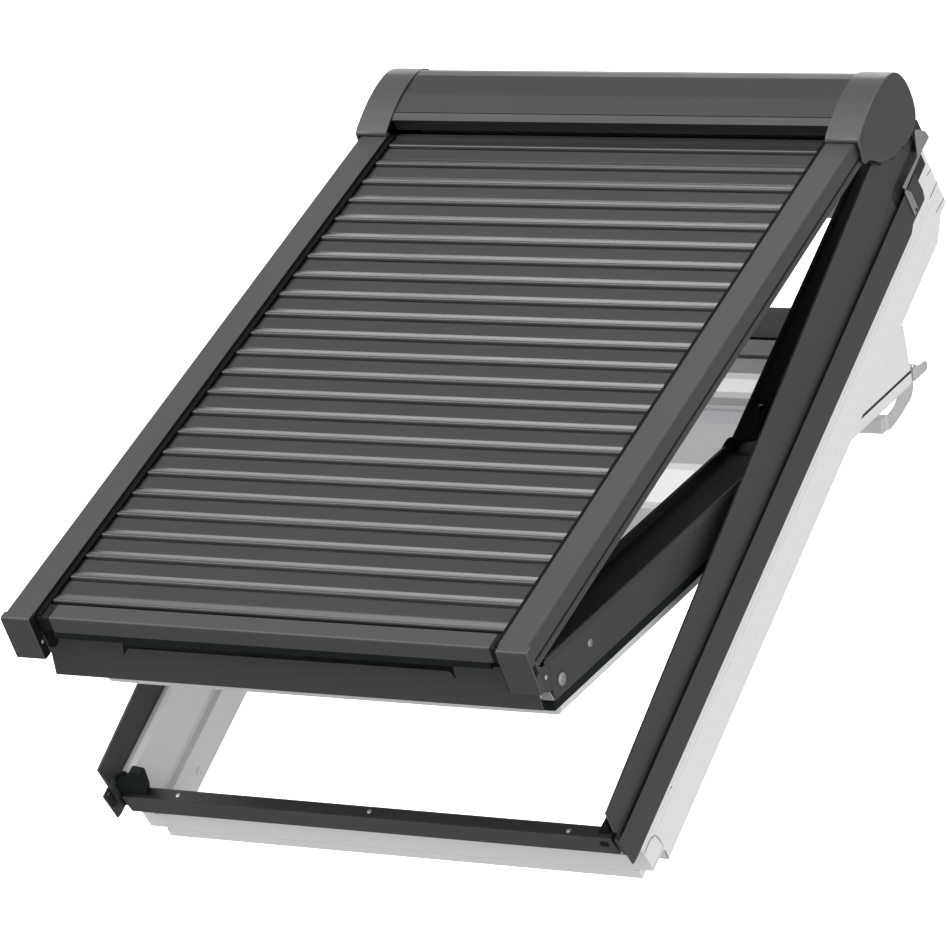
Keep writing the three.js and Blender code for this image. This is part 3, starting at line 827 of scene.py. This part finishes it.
# Levels of the near-black sheets that paint the shade on the bottom cover.
SHADE_SHEET_LEVELS = (-331.7, -330.2)
FLAP_FOOT = -977
PLATE_BACK = -976.6
EAR = [(368, -346), (376, -346, 2), (376, -321, 2), (251, -321, 1), (251.5, -343.3), (246.5, -334.5),
       (243, -331.4, 2)]
LEFT_EAR = [(-p[0], *p[1:]) for p in reversed(EAR)]
FRONT_PLATE = [(372.5, -377.5, 1.5), *EAR, *LEFT_EAR, (-368, -377.5, 1.5)]
SIDE_FLAP = [(FLAP_FOOT, COVER_TOP, 0.8), (-951.5, COVER_TOP), (-951.5, -363.5, 0.8),
             (FLAP_FOOT, -354, 0.8)]
LEFT_FLAP = [(FLAP_FOOT, COVER_TOP, 0.8), (-970.5, COVER_TOP), (-970.5, -356, 0.8),
             (FLAP_FOOT, -354, 0.8)]
CORNER_TAB = [(350.5, -381, 1), (351.5, -370, 1), (354.5, -368.3, 1), (363.5, -368.3, 1),
              (367.6, -381, 1)]


def bottom_cover():
    """The front plate with its two ears, a flap on each end, and the tab behind the right one."""
    return joined(swept(FRONT_PLATE, "s", -978.5, -976.8, 0.4), swept(SIDE_FLAP, "x", 370.3, 372, 0.3),
                  swept(LEFT_FLAP, "x", -367, -365.3, 0.3),
                  block(364.7, 366.7, -949, -941, -367, COVER_TOP, 0.4))


def bottom_shade_sheets():
    """Near-black sheets on the bottom cover, notched at both ends for the corner plugs: painted shade under
    the shutter's bar, with a block that paints the shade behind the front plate's slits.
    """
    parts = [block(-336, 336, PLATE_BACK, -880, *SHADE_SHEET_LEVELS, 0.4),
             block(-262, 262, PLATE_BACK, -974.6, -348, -331.8)]
    for x0, x1 in ((-364.5, -336), (336, 364.5)):
        parts += [block(x0, x1, PLATE_BACK, -970.2, *SHADE_SHEET_LEVELS), block(x0, x1, -949.8, -880, *SHADE_SHEET_LEVELS)]
    return joined(*parts)


piece("sash_bottom_cover", bottom_cover(), cover_coat, "sash", ["sash_cover_bottom"])
piece("sash_bottom_shade_sheets", bottom_shade_sheets(), painted_shade_black, "sash")
pair("sash_corner_tab", lambda: swept(CORNER_TAB, "s", -944.4, -942, 0.5), bracket_metal, "sash")
piece("sash_corner_screw", screw((372, -959, -341), (1, 0, 0), 3.6, 1.4), steel, "sash")

SKIRT_FOOT = -941
SKIRT_HEAD = -318
SKIRT_OUTER = 367
BIG_SCREW = (-916, -364.3)
SMALL_SCREW = (-836.7, -352.3)
SKIRT = [(361, -327.7), (361, COVER_TOP, 0.5), (363.5, COVER_TOP, 1), (SKIRT_OUTER, -331.5, 1),
         (SKIRT_OUTER, -383.5, 0.8), (364.6, -383.5), (364.6, -330), (363.5, -327.7)]
GASKET = [(344.6, -383, 1), (367.6, -383, 1), (367.2, -395.8, 2), (344.6, -395.8, 1)]
PIVOT_GUARD = [(-330, -350), (-330, -322), (-318, -314, 5), (-300, -309, 8), (-270, -320, 8),
               (-222, -336), (-222, -352)]


def side_shade_sheet():
    """A near-black strip beside the glass and the flange along the glass's edge: painted shade under the
    shutter on the top of the sash's side cover.
    """
    strip = [(300, -331.7), (300, -314, 0.8), (306, -314, 0.8), (306, COVER_TOP, 0.6), (361.4, -325.2),
             (361.4, -327.7), (309, -327.7), (309, -331.7)]
    return joined(swept(strip, "s", -879.5, SKIRT_HEAD, 0.3),
                  block(306, 361.4, SKIRT_FOOT, -879, -327.7, -325.2),
                  block(301, 357, SKIRT_HEAD - 1, -225, -332, -330.4))


def side_screws():
    """A small and a large screw on the outside of the sash's cover."""
    return joined(screw((SKIRT_OUTER, *SMALL_SCREW), (1, 0, 0), 5.5, 1.6),
                  screw((SKIRT_OUTER + 0.2, *BIG_SCREW), (1, 0, 0), 9.0, 1.8))


def screw_recess():
    """The pressed ring round the large screw."""
    return lathed([(0, 0.1), (10.5, 0.2), (12, 0.9), (12.6, 0)], (SKIRT_OUTER, *BIG_SCREW), (1, 0, 0))


pair("sash_side_cover", lambda: swept(SKIRT, "s", SKIRT_FOOT, SKIRT_HEAD, 0.4), cover_coat, "sash",
     ["sash_cover"])
pair("sash_side_shade_sheet", side_shade_sheet, painted_shade_black, "sash")
pair("sash_gasket", lambda: swept(GASKET, "s", -944, -330, 0.8), seal_rubber, "sash")
pair("side_cover_screws", side_screws, bracket_metal, "sash")
# A near-black plate beside the glass at the pivot: painted shade.
pair("sash_pivot_guard", lambda: swept(PIVOT_GUARD, "x", 298.2, 299.8, 0.3), painted_shade_black, "sash")
pair("screw_recess", screw_recess, cover_coat, "sash")
pair("stile_groove_shade", stile_groove_shade, painted_shade_coat, "sash")
pair("shutter_rest", lambda: copied("carry_pad_right", "sash", 1.0), seal_rubber, "sash",
     ["carry_pad"])

# Hinges, tube and flap


def ventilation_flap():
    """The flap's edge roll and plate, with the bar that opens it on two curved brackets."""
    plate = [(145.3, -396), (145.3, -418), (188, -418, 5), (191, -408, 5), (182, -402, 3),
             (160, -400, 3), (149, -393, 2)]
    bracket = [(150, -417), (172, -417), (169, -436, 6), (157.7, -449, 6), (124.5, -458, 8),
               (96, -464, 8), (76, -464.5, 2), (76, -443, 2), (96, -441.5, 6), (107.8, -439.5, 4),
               (116, -433, 4), (148, -426.5)]
    arms = [swept(bracket, "x", *span, 0.8) for span in ((331, 334), (-334, -331))]
    bar = swept([(62, -441, 2), (80, -440.5, 2), (82, -462, 2), (60, -463, 2)], "x", -333, 333, 1.2)
    return joined(swept(plate, "x", -350, 350, 0.8), rod(3.9, -350, 350, 148.8, -396), *arms, bar)


pair("rail_hinge_arm", lambda: copied("hinge_arm_right", "shutter", 0.6), dark_steel, "shutter",
     ["hinge_arm"])
pair("sash_pivot_block", lambda: copied("pivot_block_right", "frame", 0.8), dark_steel, "frame",
     ["pivot_block"])
piece("winding_tube", copied("roller_tube", "roller", 0.4), steel, "roller",
      ["roller_tube"])
piece("tube_drive", copied("tube_motor", "frame", 0.6), black_plastic, "frame",
      ["tube_motor"])
piece("ventilation_flap", ventilation_flap(), handle_metal, "vent", ["vent_flap"])

# Camera

CAMERA_PLACE = (3.925536, -6.351698, 1.129007)
CAMERA_RIGHT = Vector((0.8571673, 0.51503807, 0.0))
CAMERA_UP = Vector((-0.04309728, 0.07172591, 0.99649286))
CAMERA_AHEAD = Vector((-0.51323176, 0.85416109, -0.08367784))

camera = bpy.data.objects.new("camera", bpy.data.cameras.new("camera"))
camera.data.lens = 216.4557
camera.data.sensor_width = 36.0
camera.data.clip_end = 3000.0
facing = Matrix((CAMERA_RIGHT, CAMERA_UP, -CAMERA_AHEAD)).transposed().to_4x4()
camera.matrix_world = Matrix.Translation(CAMERA_PLACE) @ facing
bpy.context.scene.collection.objects.link(camera)
bpy.context.scene.camera = camera

# Floor and light

BACKDROP_SIZE = 900.0


def backdrop(name, turn, distance):
    """A pale plane of the studio that only the camera sees."""
    bm = bmesh.new()
    bmesh.ops.create_grid(bm, x_segments=1, y_segments=1, size=BACKDROP_SIZE)
    tip = Matrix.Rotation(math.radians(turn), 3, "X")
    bmesh.ops.rotate(bm, cent=(0, 0, 0), matrix=tip, verts=bm.verts[:])
    bmesh.ops.translate(bm, vec=distance, verts=bm.verts[:])
    mesh = bpy.data.meshes.new(name)
    bm.to_mesh(mesh)
    bm.free()
    look = Look(name)
    look.set(base_color=look.blend(look.noise(0.6), (0.93, 0.93, 0.93), (0.97, 0.97, 0.97)))
    look.set(roughness=0.9, emission_color=(1, 1, 1, 1), emission_strength=1.0)
    mesh.materials.append(look.material)
    made = bpy.data.objects.new(name, mesh)
    bpy.context.scene.collection.objects.link(made)
    made.visible_diffuse = False
    made.visible_glossy = False
    made.visible_transmission = False
    made.visible_shadow = False


backdrop("floor", 0.0, (0, 0, -0.9))
backdrop("back_wall", 90.0, (0, 800, 0))

# Soft light of the studio: a direction, how far it reaches in degrees, and its strength
STUDIO = [
    ((0.0, -1.0, 0.1), 60, 0.35),
    ((-0.45, -0.5, 0.74), 35, 3.5),
    ((-0.3, 0.72, 0.62), 26, 3.2),
    ((-0.5, -0.7, 0.48), 22, 2.9),
    ((1.0, -0.2, 0.1), 60, 1.0),
]
BASE_LIGHT = 0.46
PANEL_PLACE = (-0.85, 2.0, 2.05)
PANEL_TURN = Vector((-0.85, 1.9, 1.35))

bpy.context.scene.view_settings.view_transform = "Standard"
world = bpy.data.worlds.new("studio")
bpy.context.scene.world = world
air = Nodes(world)
direction = air.node("ShaderNodeTexCoord", out="Generated")
total = BASE_LIGHT
for towards, reach, strength in STUDIO:
    settings = {"operation": "DOT_PRODUCT"}
    centre = Vector(towards).normalized()
    near = air.node("ShaderNodeVectorMath", settings, [direction, centre], out="Value")
    sockets = {"Value": near, "From Min": math.cos(math.radians(reach)), "From Max": 1.0}
    soft = air.node("ShaderNodeMapRange", {"interpolation_type": "SMOOTHSTEP"}, sockets)
    total = total + soft * strength
background = air.tree.nodes["Background"]
background.inputs["Color"].default_value = (1, 1, 1, 1)
air.tree.links.new(total.socket, background.inputs["Strength"])

panel = bpy.data.objects.new("back_panel", bpy.data.lights.new("back_panel", "AREA"))
panel.data.shape = "RECTANGLE"
panel.data.size = 0.9
panel.data.size_y = 0.6
panel.data.energy = 0.6
panel.matrix_world = Matrix.Translation(PANEL_PLACE) @ PANEL_TURN.to_track_quat("Z", "Y").to_matrix().to_4x4()
panel.visible_camera = False
panel.visible_transmission = False
bpy.context.scene.collection.objects.link(panel)
